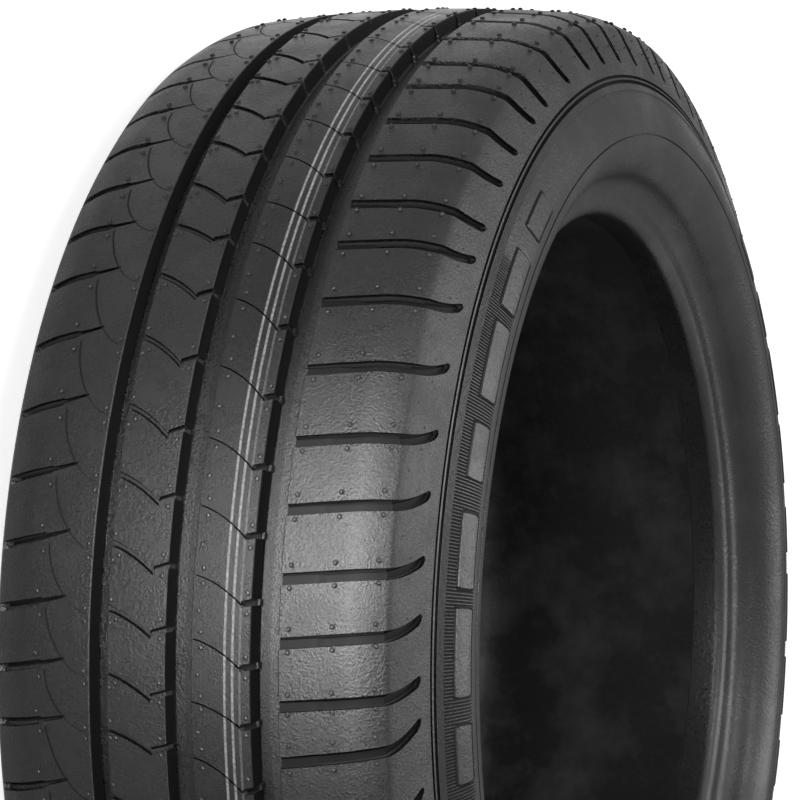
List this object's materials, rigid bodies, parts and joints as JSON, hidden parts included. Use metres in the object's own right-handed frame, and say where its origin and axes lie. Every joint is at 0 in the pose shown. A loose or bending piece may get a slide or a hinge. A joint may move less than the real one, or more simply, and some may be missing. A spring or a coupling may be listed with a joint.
{
  "type": "car tyre",
  "caption": "Low-profile car tyre for a 16 inch rim, with an asymmetric summer tread of four ribs and three grooves, lying flat.",
  "frame": {"origin": "centre of the tyre, on its axis, halfway between the two sidewalls", "axes": "+Z along the axis, out of the outboard sidewall; +X and +Y are radial"},
  "size_m": [0.6133, 0.6131, 0.2226],
  "materials": {
    "tyre": "satin"
  },
  "bodies": {
    "root": {"tyre": "tyre"}
  },
  "joints": []
}
